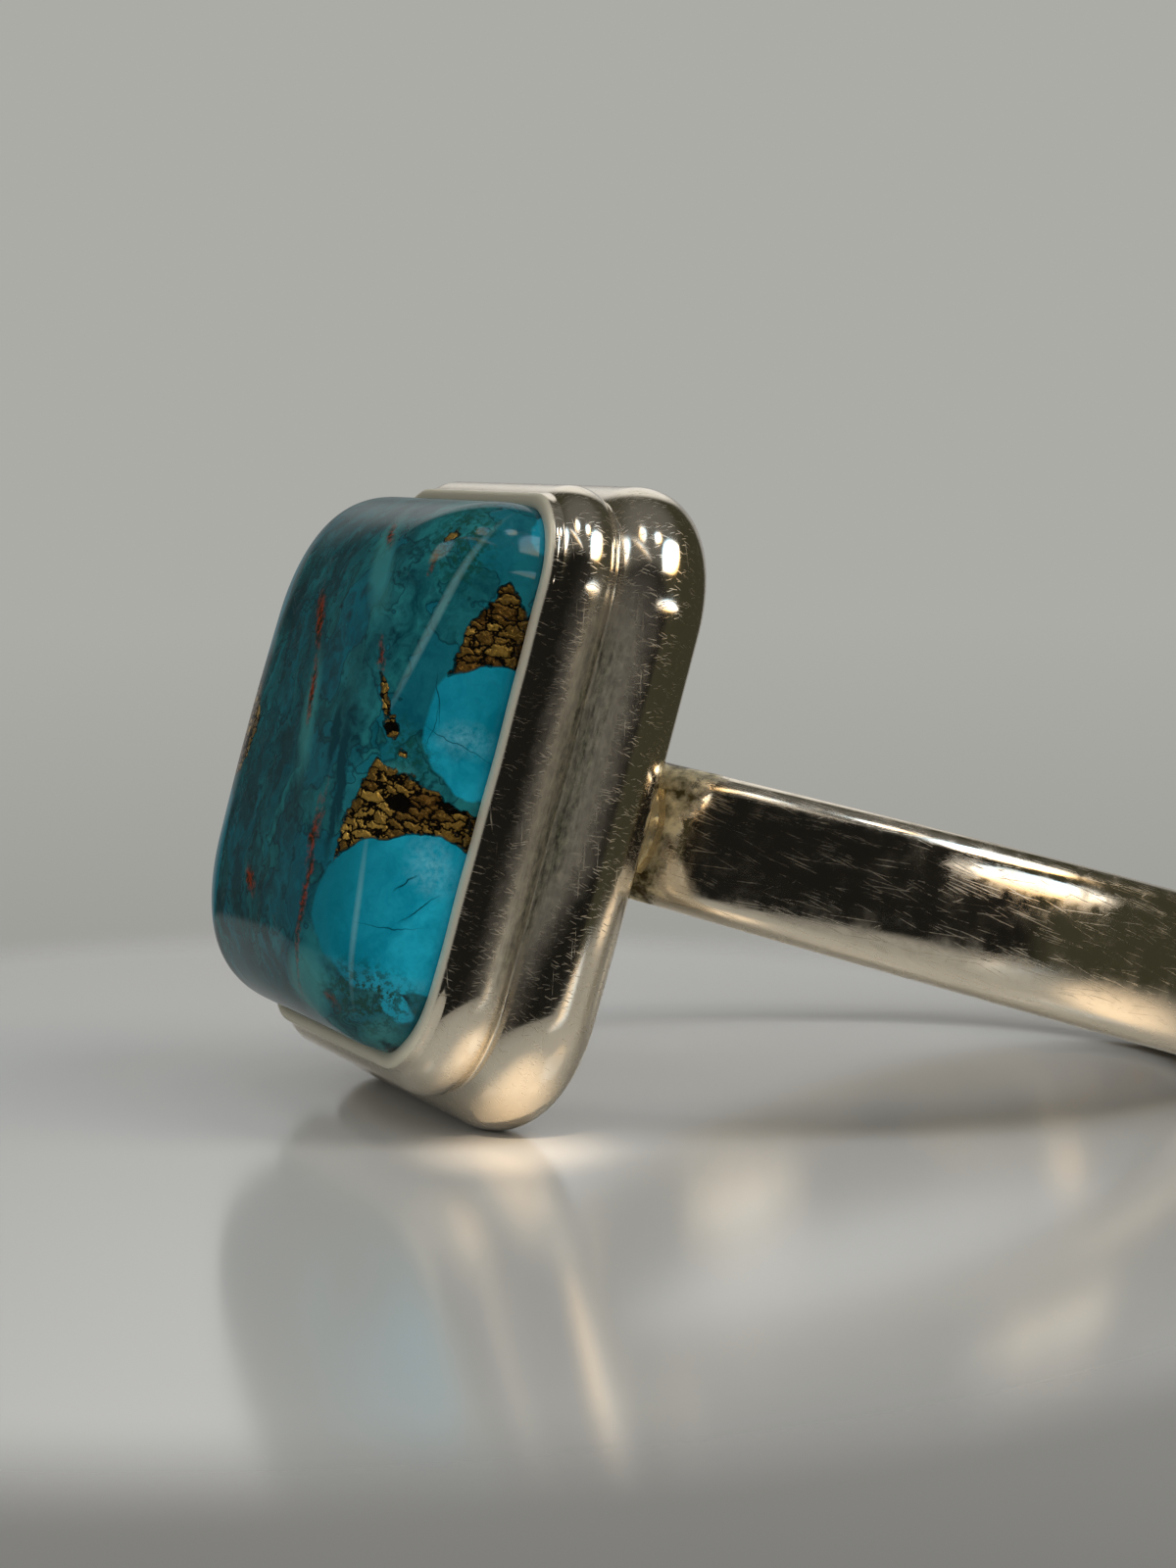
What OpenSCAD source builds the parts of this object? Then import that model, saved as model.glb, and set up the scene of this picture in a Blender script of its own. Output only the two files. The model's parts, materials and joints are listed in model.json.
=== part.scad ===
// Silver ring with a two-roll cushion setting and a high turquoise cabochon.
// It lies on its side, as it comes to rest by itself: the lower roll of the setting and the
// lower edge of the band touch the surface. Millimetres, +Z up, the stone faces -X, and the
// origin is under the middle of the whole ring, on the surface that it rests on.

/* [Band] */
// Inner diameter of the finger hole
hole_d = 17.6; // [15:0.1:21]
// Thickness of the band at the middle of its outer face
band_t = 1.65; // [1.3:0.05:2.2]
// Width of the band at the setting
band_w_head = 3.4; // [2.8:0.1:4]
// Width of the band at the back of the finger
band_w_back = 4.1; // [3.2:0.1:5]
// Radius across the crowned outer face
band_crown_r = 8; // [6:0.5:20]
// Radius of the two outer edges
band_edge_r = 0.7; // [0.4:0.05:0.8]

/* [Setting] */
// Size of the bezel rim along the finger
rim_l = 14.3; // [12:0.1:18]
// Size of the bezel rim across the finger
rim_w = 13; // [11:0.1:16]
// Corner radius of the rim
rim_corner_r = 2.4; // [2:0.1:3.5]
// Depth from the back of the setting to the top of the rim
setting_d = 4.2; // [4:0.05:4.4]
// Thickness of the back plate
plate_t = 1.2; // [0.8:0.1:1.4]
// Height of the plain rim above the upper roll
rim_h = 0.35; // [0.25:0.05:0.45]
// Thickness of the rim at its top
rim_t = 0.28; // [0.2:0.02:0.4]
// How far the rim leans in over the stone
rim_lean = 0.08; // [0.02:0.02:0.16]
// Radius of the lower roll
low_roll_r = 1.32; // [1.2:0.02:1.4]
// How far the lower roll stands out past the rim
low_roll_out = 0.84; // [0.6:0.02:1]
// Radius of the upper roll
top_roll_r = 0.9; // [0.85:0.01:0.95]
// How far the upper roll stands out past the rim
top_roll_out = 0.4; // [0.35:0.01:0.45]

/* [Stone] */
// Height of the stone's crest above the rim
stone_rise = 3.3; // [2.5:0.1:4.5]
// Gap between the stone and the silver that holds it
stone_gap = 0.05; // [0.04:0.01:0.1]
// How square the shoulder is, from 2 for a round dome
stone_squareness = 4; // [2.5:0.1:5]

/* [Hidden] */
$fn = 96;
// Room added where one shape cuts another
over = 1;

hole_r = hole_d / 2;
band_r = hole_r + band_t;
// The setting's back clears the finger hole by this much, so the hole stays a full circle
plate_clear = 0.3;
plate_x = hole_r + plate_clear;

// The band's section: the crown falls this far by the start of each rounded edge
edge_start = band_w_back / 2 - band_edge_r;
crown_fall = band_crown_r - sqrt(pow(band_crown_r, 2) - pow(edge_start, 2));
edge_x = band_r - crown_fall - band_edge_r;
// How much narrower each side of the band gets for each millimetre towards the setting
band_taper = (band_w_back - band_w_head) / 2 / (band_r + hole_r);

cup_wall = rim_t + rim_lean;
top_roll_h = setting_d - rim_h - sqrt(pow(top_roll_r, 2) - pow(top_roll_r - top_roll_out, 2));
// How far the swept wall reaches in under the stone, to overlap the plate
wall_lap = 0.8;

// A rounded rectangle's points, for half sizes a and b and corner radius r
function cushion(a, b, r, corner_steps = 8, side_steps = 4) =
    let (c = [a - r, b - r])
    let (corner = [for (i = [0 : corner_steps]) let (t = 90 * i / corner_steps) [c.x + r * cos(t), c.y + r * sin(t)]])
    let (along_y = [for (i = [1 : side_steps - 1]) [a, c.y * (2 * i / side_steps - 1)]])
    let (along_x = [for (i = [1 : side_steps - 1]) [c.x * (1 - 2 * i / side_steps), b]])
    let (half = concat(along_y, corner, along_x, [for (i = [corner_steps : -1 : 0]) [-corner[i].x, corner[i].y]]))
    concat(half, [for (p = half) -p]);

// The stone's outline inside the cup
stone_inset = cup_wall + stone_gap;
stone_a = rim_w / 2 - stone_inset;
stone_b = rim_l / 2 - stone_inset;
stone_outline = cushion(stone_a, stone_b, rim_corner_r - stone_inset);
stone_foot = plate_t + stone_gap;
dome_rings = 14;

// Height above the rim where the outline has shrunk to the share u of its full size
function dome_h(u) = stone_rise * sqrt(1 - pow(u, stone_squareness));

// The rings are close together on the steep side and wide apart near the crest
function dome_u(i) = cos(90 * i / dome_rings);

// A ring of the dome: the outline shrinks, and opens towards an ellipse near the crest
function dome_ring(u) =
    let (round_share = pow(1 - u, 1.5))
    [for (p = stone_outline)
        let (t = atan2(p.y / stone_b, p.x / stone_a), oval = [stone_a * cos(t), stone_b * sin(t)])
        let (q = u * (p * (1 - round_share) + oval * round_share))
        [q.x, q.y, setting_d + dome_h(u)]];

stone_rings = concat(
    [[for (p = stone_outline) [p.x, p.y, stone_foot]]],
    [for (i = [0 : dome_rings - 1]) dome_ring(dome_u(i))]);
ring_size = len(stone_outline);
last_ring = dome_rings * ring_size;
stone_points = concat(
    [for (ring = stone_rings, p = ring) p],
    [[0, 0, stone_foot], [0, 0, setting_d + stone_rise]]);
foot_point = len(stone_points) - 2;
crest_point = len(stone_points) - 1;
stone_faces = [
    for (i = [0 : ring_size - 1]) let (j = (i + 1) % ring_size) each concat(
        [[i, j, foot_point]],
        [for (k = [0 : dome_rings - 1]) let (low = k * ring_size, high = low + ring_size)
            [low + i, high + i, high + j, low + j]],
        [[last_ring + i, crest_point, last_ring + j]])];

// The rest pose: both lowest edges are arcs, and their common tangent lies flat
roll_at = [-(plate_x + low_roll_r), -(rim_l / 2 + low_roll_out - low_roll_r)];
edge_at = [edge_x, -edge_start];
span = edge_at - roll_at;
tilt = atan2(span.y, span.x) + asin((low_roll_r - band_edge_r) / norm(span));
lift = low_roll_r - (roll_at.y * cos(tilt) - roll_at.x * sin(tilt));
// How far the ring reaches to each side after the tilt
reach_back = edge_x * cos(tilt) + edge_start * sin(tilt) + band_edge_r;
reach_stone = min([for (p = stone_points) -(plate_x + p.z) * cos(tilt) + p.y * sin(tilt)]);
shift = -(reach_back + reach_stone) / 2;

// Sets a shape of the upright ring down in its rest pose
module at_rest() {
    translate([shift, 0, lift]) rotate([0, tilt, 0]) children();
}

// Turns a shape drawn face up on the setting's back to where the setting is
module on_setting() {
    translate([-plate_x, 0, 0]) rotate([90, 0, -90]) children();
}

// The band's section: flat inside, crowned outside, with rounded edges
module band_section() {
    intersection() {
        translate([band_r - band_crown_r, 0]) circle(r = band_crown_r, $fn = 360);
        union() {
            translate([hole_r, -band_w_back / 2]) square([edge_x - hole_r, band_w_back]);
            translate([hole_r, -edge_start]) square([band_t + over, 2 * edge_start]);
            for (side = [-1, 1]) translate([edge_x, side * edge_start]) circle(r = band_edge_r);
        }
    }
}

// What is cut from the full hoop: a wedge off each side, which narrows the band towards the
// setting, and the stretch beyond the back plate
module band_cuts() {
    end_x = band_r + over;
    half_at_end = band_w_back / 2 - band_taper * (band_r + end_x);
    stop_x = -(plate_x + plate_t / 2);
    rotate([90, 0, 0]) linear_extrude(2 * end_x, center = true) {
        for (side = [-1, 1]) polygon([[-end_x, side * half_at_end], [band_r, side * band_w_back / 2],
            [band_r, side * band_w_back], [-end_x, side * band_w_back]]);
        translate([-end_x, -band_w_back]) square([end_x + stop_x, 2 * band_w_back]);
    }
}

module band() {
    difference() {
        rotate_extrude($fn = 240) band_section();
        band_cuts();
    }
}

// Section of the setting wall: x out from the rim's outline, y up from the setting's back
module wall_section() {
    difference() {
        union() {
            translate([low_roll_out - low_roll_r, low_roll_r]) circle(r = low_roll_r);
            translate([top_roll_out - top_roll_r, top_roll_h]) circle(r = top_roll_r);
            translate([-wall_lap, 0]) square([wall_lap + low_roll_out - low_roll_r, plate_t]);
            polygon([[-cup_wall, plate_t], [0, low_roll_r], [0, setting_d - rim_h],
                [-rim_lean, setting_d], [-cup_wall, setting_d]]);
        }
        translate([-cup_wall - 2 * low_roll_r, plate_t]) square([2 * low_roll_r, setting_d]);
        translate([-wall_lap - 2 * low_roll_r, -over]) square([2 * low_roll_r, setting_d]);
    }
}

// A straight stretch of wall on the +X side, for a rim of half size a with straight length
module straight_wall(a, length) {
    translate([a, length / 2, 0]) rotate([90, 0, 0]) linear_extrude(length) wall_section();
}

// Plate with rounded corners that fills the setting's back inside the swept wall
module back_plate() {
    inset = (wall_lap + cup_wall) / 2;
    r = rim_corner_r - inset;
    c = [rim_w / 2 - inset - r, rim_l / 2 - inset - r];
    linear_extrude(plate_t) {
        square([2 * (c.x + r), 2 * c.y], center = true);
        square([2 * c.x, 2 * (c.y + r)], center = true);
        for (sx = [-1, 1], sy = [-1, 1]) translate([sx * c.x, sy * c.y]) circle(r = r);
    }
}

module setting() {
    c = [rim_w / 2 - rim_corner_r, rim_l / 2 - rim_corner_r];
    for (turn = [0, 180]) rotate(turn) {
        straight_wall(rim_w / 2, 2 * c.y);
        rotate(90) straight_wall(rim_l / 2, 2 * c.x);
        translate([c.x, c.y]) rotate_extrude(angle = 90) translate([rim_corner_r, 0]) wall_section();
        translate([-c.x, c.y]) rotate(90) rotate_extrude(angle = 90) translate([rim_corner_r, 0]) wall_section();
    }
    back_plate();
}

module silver_ring() {
    color("silver") at_rest() {
        band();
        on_setting() setting();
    }
}

module turquoise_stone() {
    color("darkturquoise") at_rest() on_setting() polyhedron(stone_points, stone_faces);
}

silver_ring();
turquoise_stone();
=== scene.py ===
"""Turquoise ring: the silver, the stone, their finishes and a plain studio, built round the CAD frame."""

import json
import math

import bmesh
import bpy
import numpy as np
from mathutils import Matrix, Vector, noise


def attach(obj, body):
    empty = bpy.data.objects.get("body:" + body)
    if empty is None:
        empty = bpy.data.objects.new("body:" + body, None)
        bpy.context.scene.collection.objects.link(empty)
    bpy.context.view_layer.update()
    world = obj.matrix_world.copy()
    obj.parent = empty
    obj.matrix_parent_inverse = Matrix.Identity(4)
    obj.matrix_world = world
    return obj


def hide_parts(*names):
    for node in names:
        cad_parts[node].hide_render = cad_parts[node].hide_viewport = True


bl_info = {
    "name": "Turquoise Ring",
    "version": (1, 0, 0),
    "blender": (4, 5, 0),
    "location": "3D View > Sidebar > Ring",
    "description": "Models a silver ring with a turquoise cabochon, lying on its side in a studio",
    "category": "Add Mesh",
}

MM = 0.001
FINGER_HOLE = "finger_hole"
SURFACE_MAP = "surface_mm"
SHARP_EDGE = math.radians(60)

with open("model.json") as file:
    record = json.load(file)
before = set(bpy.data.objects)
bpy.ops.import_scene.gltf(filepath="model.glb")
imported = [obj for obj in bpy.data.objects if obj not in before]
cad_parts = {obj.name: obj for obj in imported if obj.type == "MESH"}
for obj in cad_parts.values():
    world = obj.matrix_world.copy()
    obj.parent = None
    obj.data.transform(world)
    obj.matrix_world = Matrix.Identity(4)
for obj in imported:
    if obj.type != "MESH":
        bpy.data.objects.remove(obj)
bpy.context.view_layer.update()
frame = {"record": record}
HOLE = next(m for m in frame["record"]["mounts"] if m["name"] == FINGER_HOLE)
HOLE_RADIUS = HOLE["dims"]["r_mm"] * MM


# Sizes and settings


def millimetres(label, size, description):
    """A length that a user may change, given in millimetres and kept in metres."""
    return bpy.props.FloatProperty(
        name=label, description=description, default=size * MM, unit="LENGTH", precision=5)


def degrees(label, angle, description):
    """An angle that a user may change, given in degrees."""
    return bpy.props.FloatProperty(
        name=label, description=description, default=math.radians(angle), subtype="ANGLE")


def share(label, amount, description):
    """A plain number that a user may change."""
    return bpy.props.FloatProperty(name=label, description=description, default=amount)


def linear(code):
    """The linear colour of an sRGB hex code."""
    parts = [int(code[i : i + 2], 16) / 255 for i in (1, 3, 5)]
    return tuple(c / 12.92 if c <= 0.04045 else ((c + 0.055) / 1.055) ** 2.4 for c in parts)


def colour(label, code, description):
    """A colour that a user may change, given as an sRGB hex code."""
    return bpy.props.FloatVectorProperty(
        name=label, description=description, default=linear(code), subtype="COLOR", min=0, max=1)


class BandSizes(bpy.types.PropertyGroup):
    """Sizes of the shank."""

    thickness: millimetres("Thickness", 1.65, "At the middle of the outer face")
    width_head: millimetres("Width at the setting", 3.4, "Width where the band meets the plate")
    width_back: millimetres("Width at the back", 4.1, "Width at the back of the finger")
    crown: millimetres("Crown radius", 8.0, "Radius across the outer face")
    edge: millimetres("Edge radius", 0.7, "Radius of the two outer edges")
    inner_edge: millimetres("Inner edge", 0.16, "Softening of the two edges at the finger")
    clear: millimetres("Clearance", 0.3, "From the finger hole to the back of the setting")


class SettingSizes(bpy.types.PropertyGroup):
    """Sizes of the two-roll setting."""

    rim_length: millimetres("Rim length", 14.3, "Along the finger")
    rim_width: millimetres("Rim width", 13.0, "Across the finger")
    corner: millimetres("Corner radius", 2.4, "Corner radius of the rim")
    depth: millimetres("Depth", 4.2, "From the back of the setting to the top of the rim")
    plate: millimetres("Plate", 1.2, "Thickness of the back plate")
    rim_height: millimetres("Rim height", 0.35, "Height of the plain rim above the upper roll")
    rim_wall: millimetres("Rim wall", 0.36, "From the rim's outline in to the cup")
    rim_reach: millimetres("Rim reach", 0.41, "From the rim's outline in to its edge on the stone")
    low_roll: millimetres("Lower roll radius", 1.32, "Radius of the lower roll")
    low_out: millimetres("Lower roll reach", 0.84, "How far the lower roll stands past the rim")
    top_roll: millimetres("Upper roll radius", 0.9, "Radius of the upper roll")
    top_out: millimetres("Upper roll reach", 0.4, "How far the upper roll stands past the rim")
    groove: millimetres("Groove", 0.07, "Softening at the bottom of the groove")
    bow: millimetres("Side bow", 0.12, "How far each long side swells at its middle")
    rim_wave: millimetres("Rim wave", 0.03, "How far the hand-set rim dips here and there")


class StoneSizes(bpy.types.PropertyGroup):
    """Sizes of the cabochon."""

    inset: millimetres("Inset", 0.41, "From the rim's outline in to the stone")
    foot: millimetres("Foot", 1.25, "From the back of the setting to the stone's flat foot")
    rise: millimetres("Rise", 3.3, "Height of the crest above the rim")
    squareness: share("Squareness", 4.0, "2 is a round dome, and more makes a squarer shoulder")


class SolderSizes(bpy.types.PropertyGroup):
    """Sizes of the solder seam between band and setting."""

    end: millimetres("Reach at the ends", 0.95, "How far it spreads over the plate in front of the band")
    side: millimetres("Reach at the sides", 0.24, "How far it spreads beside the band")
    rise: millimetres("Rise", 0.55, "How far it climbs the band's outer face")


class StageSettings(bpy.types.PropertyGroup):
    """Camera, floor and light."""

    heading: degrees("Heading", 20.35, "The camera's turn away from the view straight across the ring")
    dip: degrees("Dip", 5.17, "How far the camera looks down")
    roll: degrees("Roll", -0.49, "The camera's roll")
    distance: millimetres("Distance", 93.2, "From the camera to the side of the setting")
    focal: share("Focal length in pixels", 4043.0, "For a picture 1200 pixels wide and 1600 high")
    aim_across: share("Aim across", 580.8, "Pixel column at which the side's middle shows")
    aim_down: share("Aim down", 825.2, "Pixel row at which the side's middle shows")
    backdrop: colour("Backdrop", "#ACACA7", "Plain grey behind the ring")
    below: colour("Below", "#7A7975", "The backdrop far below the ring")
    floor: colour("Floor", "#C9CAC8", "Plain pale floor")


class RingSettings(bpy.types.PropertyGroup):
    """All settings of the ring and its stage."""

    band: bpy.props.PointerProperty(type=BandSizes)
    setting: bpy.props.PointerProperty(type=SettingSizes)
    stone: bpy.props.PointerProperty(type=StoneSizes)
    solder: bpy.props.PointerProperty(type=SolderSizes)
    stage: bpy.props.PointerProperty(type=StageSettings)


# Places in the frame


def at_rest():
    """From the upright ring, its finger hole round Z and its head towards -X, to its rest pose."""
    axis = Vector(HOLE["axis"])
    tilt = math.atan2(axis.x, axis.z)
    return Matrix.Translation(Vector(HOLE["pos_m"])) @ Matrix.Rotation(tilt, 4, "Y")


def plate_place(sizes):
    """How far the setting's back lies from the middle of the finger hole."""
    return HOLE_RADIUS + sizes.band.clear


def on_setting(sizes):
    """From the head lying face up, X across and Y along the finger, to the rest pose."""
    face_out = Matrix.Rotation(math.radians(-90), 4, "Z") @ Matrix.Rotation(math.radians(90), 4, "X")
    return at_rest() @ Matrix.Translation((-plate_place(sizes), 0, 0)) @ face_out


# Modelling steps


def start_line(name, place):
    """A new mesh of one point in edit mode, ready to be extruded and spun."""
    bpy.ops.object.select_all(action="DESELECT")
    bpy.ops.mesh.primitive_plane_add(size=MM)
    piece = bpy.context.object
    piece.name = piece.data.name = name
    bpy.ops.object.mode_set(mode="EDIT")
    bpy.ops.mesh.select_mode(type="VERT")
    bpy.ops.mesh.merge(type="CENTER")
    bpy.ops.transform.translate(value=place)
    return piece


def line_to(start, end):
    """Extrudes the selected point from start to end, and returns end."""
    end = Vector(end)
    bpy.ops.mesh.extrude_vertices_move(TRANSFORM_OT_translate={"value": end - Vector(start)})
    return end


def sweep(steps, angle, centre, axis):
    """Spins what is selected round an axis, counter-clockwise as seen from the axis's tip."""
    bpy.ops.mesh.spin(steps=steps, angle=-angle, center=centre, axis=axis)


def arc(centre, start, angle, steps):
    """Spins the selected point round an axis along Y, from +X towards +Z, and returns its end."""
    sweep(steps, angle, centre, (0, -1, 0))
    return Matrix.Rotation(angle, 3, (0, -1, 0)) @ (Vector(start) - Vector(centre)) + Vector(centre)


def angle_of(place, centre):
    """The angle of a place round a centre in the XZ plane, from +X towards +Z."""
    return math.atan2(place[2] - centre[2], place[0] - centre[0])


def crossing(low, low_radius, high, high_radius):
    """Where two circles in an XZ plane cross, on their +X side."""
    span = high - low
    along = (span.length_squared + low_radius**2 - high_radius**2) / (2 * span.length)
    out = Vector((span.z, 0, -span.x)).normalized()
    return low + span.normalized() * along + out * math.sqrt(low_radius**2 - along**2)


def pick(test, kind="VERT"):
    """Selects in edit mode the points, edges or faces whose corners all pass a test of their place."""
    bpy.ops.mesh.select_mode(type=kind)
    bpy.ops.mesh.select_all(action="DESELECT")
    mesh = bmesh.from_edit_mesh(bpy.context.edit_object.data)
    for item in {"VERT": mesh.verts, "EDGE": mesh.edges, "FACE": mesh.faces}[kind]:
        corners = [item] if kind == "VERT" else item.verts
        item.select_set(all(test(v.co) for v in corners))
    bmesh.update_edit_mesh(bpy.context.edit_object.data)


def close_up():
    """Merges what meets, and turns every face outwards."""
    bpy.ops.mesh.select_mode(type="VERT")
    bpy.ops.mesh.select_all(action="SELECT")
    bpy.ops.mesh.remove_doubles(threshold=0.001 * MM)
    bpy.ops.mesh.select_all(action="SELECT")
    bpy.ops.mesh.normals_make_consistent(inside=False)


def smooth():
    """Leaves edit mode, and shades smooth all but the sharp edges."""
    bpy.ops.object.mode_set(mode="OBJECT")
    bpy.ops.object.shade_smooth_by_angle(angle=SHARP_EDGE)


def points_of(piece):
    """The piece's points as an array, one row each."""
    flat = np.empty(len(piece.data.vertices) * 3, np.float32)
    piece.data.vertices.foreach_get("co", flat)
    return flat.reshape(-1, 3).astype(float)


def move_points(piece, points):
    """Writes an array of points back to the piece."""
    piece.data.vertices.foreach_set("co", points.astype(np.float32).ravel())
    piece.data.update()


def lay_map(piece, along, across, whole):
    """Stores where each point lies on the metal, in millimetres, as a UV map. Whole is once round."""
    layer = piece.data.uv_layers.new(name=SURFACE_MAP)
    corners = np.empty(len(piece.data.loops), np.int32)
    piece.data.loops.foreach_get("vertex_index", corners)
    places = np.stack([along[corners], across[corners]], 1) / MM
    for face in piece.data.polygons:
        part = slice(face.loop_start, face.loop_start + face.loop_total)
        if np.ptp(places[part, 0]) > whole / MM / 2:
            places[part, 0] += np.where(places[part, 0] < 0, whole / MM, 0)
    layer.data.foreach_set("uv", places.astype(np.float32).ravel())


def finish_piece(piece, placing, material, node=None):
    """Puts the piece in its place, applies that to its mesh, and gives it its material and body."""
    piece.data.transform(placing)
    piece.data.materials.clear()
    piece.data.materials.append(material)
    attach(piece, "root")
    if node:
        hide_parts(node)


# Shapes


# How finely each shape is drawn: steps along an arc, a straight side or a turn
LOW_ROLL_STEPS = 48
TOP_ROLL_STEPS = 32
SIDE_STEPS = 24
CORNER_STEPS = 28
SOFT_EDGE_STEPS = 3
BAND_EDGE_STEPS = 12
BAND_CROWN_STEPS = 24
BAND_TURN_STEPS = 288
DOME_RINGS = 72
STONE_TURN_STEPS = 288
# The rim's section over its rounded top, as shares of its reach inwards and of its height
RIM_CURVE = ((0.0, 0.35), (0.14, 0.78), (0.42, 0.97), (0.8, 1.0))
RIM_LIP = 0.1
# The stone's side below the rim as shares of its depth, and how far its foot's edge is turned in
STONE_SIDE = ((0.1, 1.0), (0.5, 1.0), (0.96, 1.0), (1.0, 0.96))
# The seam: its sections all round, those over the outer face at each end, and places along its curve
SEAM_SECTIONS = 128
SEAM_OUTER_SECTIONS = 48
SEAM_CURVE = (0, 0.17, 0.34, 0.5, 0.67, 0.84, 1)
# Its lumps, as a share of its reach and how many go round it, and how far it runs into the metal
SEAM_LUMP_SIZE = 0.12
SEAM_LUMP_COUNT = 40
SEAM_IN_PLATE = 0.25 * MM
SEAM_IN_BAND = 0.2 * MM
# How close to a plane a point counts as in it
NEAR = 0.002 * MM


def roll_centres(s):
    """The middles of the lower and the upper roll, in the section at the right-hand side."""
    row = -(s.rim_length / 2 - s.corner)
    top_h = s.depth - s.rim_height - math.sqrt(s.top_roll**2 - (s.top_roll - s.top_out) ** 2)
    edge = s.rim_width / 2
    low = Vector((edge + s.low_out - s.low_roll, row, s.low_roll))
    return low, Vector((edge + s.top_out - s.top_roll, row, top_h))


def draw_wall(s):
    """Draws the wall's section at the right-hand side, from the back plate over both rolls to the cup."""
    low, top = roll_centres(s)
    groove = crossing(low, s.low_roll, top, s.top_roll)
    edge, row = s.rim_width / 2, low.y
    rim_foot = Vector((edge, row, s.depth - s.rim_height))
    start = low - Vector((0, 0, s.low_roll))
    piece = start_line("silver_setting", start)
    here = arc(low, start, math.radians(90) + angle_of(groove, low), LOW_ROLL_STEPS)
    here = arc(top, here, angle_of(rim_foot, top) - angle_of(groove, top), TOP_ROLL_STEPS)
    for inward, upward in RIM_CURVE:
        here = line_to(here, (edge - inward * s.rim_reach, row, rim_foot.z + upward * s.rim_height))
    here = line_to(here, (edge - s.rim_reach, row, s.depth - RIM_LIP * s.rim_height))
    here = line_to(here, (edge - s.rim_wall, row, rim_foot.z))
    line_to(here, (edge - s.rim_wall, row, s.plate))
    return piece, groove.z


def sweep_wall(s):
    """Sweeps the drawn section round the rim's outline: four straight sides and four quarter turns."""
    bpy.ops.mesh.select_mode(type="EDGE")
    bpy.ops.mesh.select_all(action="SELECT")
    x, y = s.rim_width / 2 - s.corner, s.rim_length / 2 - s.corner
    for way, corner in (((0, 1), (x, y)), ((-1, 0), (-x, y)), ((0, -1), (-x, -y)), ((1, 0), (x, -y))):
        length = 2 * (y if way[1] else x)
        step = Vector((way[0], way[1], 0)) * (length / SIDE_STEPS)
        for _ in range(SIDE_STEPS):
            bpy.ops.mesh.extrude_edges_move(TRANSFORM_OT_translate={"value": step})
        sweep(CORNER_STEPS, math.radians(90), (*corner, 0), (0, 0, 1))


def around_rim(points, s):
    """How far round the rim's outline each point lies, how far out from it, and once round."""
    x, y = s.rim_width / 2 - s.corner, s.rim_length / 2 - s.corner
    px, py = np.abs(points[:, 0]), np.abs(points[:, 1])
    bend = math.pi / 2 * s.corner
    turn = np.arctan2(np.maximum(py - y, 0), np.maximum(px - x, 1e-9))
    first = np.where(py > y, np.where(px > x, y + turn * s.corner, y + bend + x - px), py)
    on_corner = (px > x) & (py > y)
    out = np.where(on_corner, np.hypot(px - x, py - y), np.maximum(px - x, py - y)) - s.corner
    whole = 4 * (x + y + bend)
    along = np.where(points[:, 0] < 0, whole / 2 - first, first)
    return np.where(points[:, 1] < 0, -along, along), out, whole


def up_the_wall(points, out, s):
    """How far above the groove each point lies, measured round the two rolls."""
    low, top = roll_centres(s)
    groove = crossing(low, s.low_roll, top, s.top_roll)
    edge = s.rim_width / 2
    low_turn = np.arctan2(points[:, 2] - low.z, out + edge - low.x) - angle_of(groove, low)
    top_turn = np.arctan2(points[:, 2] - top.z, out + edge - top.x) - angle_of(groove, top)
    return np.where(points[:, 2] < groove.z, low_turn * s.low_roll, top_turn * s.top_roll)


def swell(points, s):
    """The two long sides bow out a little, and the rim rises and dips as a hand-set one does."""
    # The swell starts 0.3 of the rim's width out from the middle, and is whole 0.45 out
    side = np.clip((np.abs(points[:, 0]) - 0.3 * s.rim_width) / (0.15 * s.rim_width), 0, 1)
    belly = np.clip(1 - (2 * points[:, 1] / s.rim_length) ** 2, 0, 1)
    moved = points.copy()
    moved[:, 0] += np.sign(points[:, 0]) * s.bow * side * belly
    rim = np.clip((points[:, 2] - (s.depth - s.rim_height)) / s.rim_height, 0, 1)
    # Two waves about 6 and 2 mm long
    far = (points[:, 0] + points[:, 1]) / MM
    wave = 0.6 * np.sin(far / 0.9) + 0.4 * np.sin(far / 0.37 + 1.3)
    moved[:, 2] -= rim * s.rim_wave * (0.5 + 0.5 * wave)
    return moved


def model_setting(sizes):
    """The soldered setting: back plate, two rolls with a groove between them, and the burnished rim."""
    s = sizes.setting
    piece, groove_z = draw_wall(s)
    sweep_wall(s)
    close_up()
    inner = (s.rim_width - s.rim_wall) / 2
    for level in (0, s.plate):
        pick(lambda p, level=level: abs(p.z - level) < NEAR and abs(p.x) < inner
             and abs(p.y) < inner + (s.rim_length - s.rim_width) / 2, "EDGE")
        bpy.ops.mesh.edge_face_add()
    pick(lambda p: abs(p.z - groove_z) < NEAR, "EDGE")
    bpy.ops.mesh.bevel(offset=s.groove, segments=SOFT_EDGE_STEPS, affect="EDGES")
    close_up()
    smooth()
    points = points_of(piece)
    along, out, whole = around_rim(points, s)
    lay_map(piece, along, up_the_wall(points, out, s), whole)
    move_points(piece, swell(points, s))
    return piece


def band_outline(b):
    """The band's outer radius, then where its crown's middle is, and where its rounded edge's middle is."""
    outer = HOLE_RADIUS + b.thickness
    crown_x = outer - b.crown
    edge_z = b.width_back / 2 - b.edge
    return outer, crown_x, math.sqrt((b.crown - b.edge) ** 2 - edge_z**2) + crown_x, edge_z


def band_half_width(x, b):
    """Half the band's width at a place along X: it narrows evenly from the back to the setting."""
    outer, half = HOLE_RADIUS + b.thickness, b.width_back / 2
    slope = (b.width_back - b.width_head) / 2 / (outer + HOLE_RADIUS)
    return half - slope * (outer - x)


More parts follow.
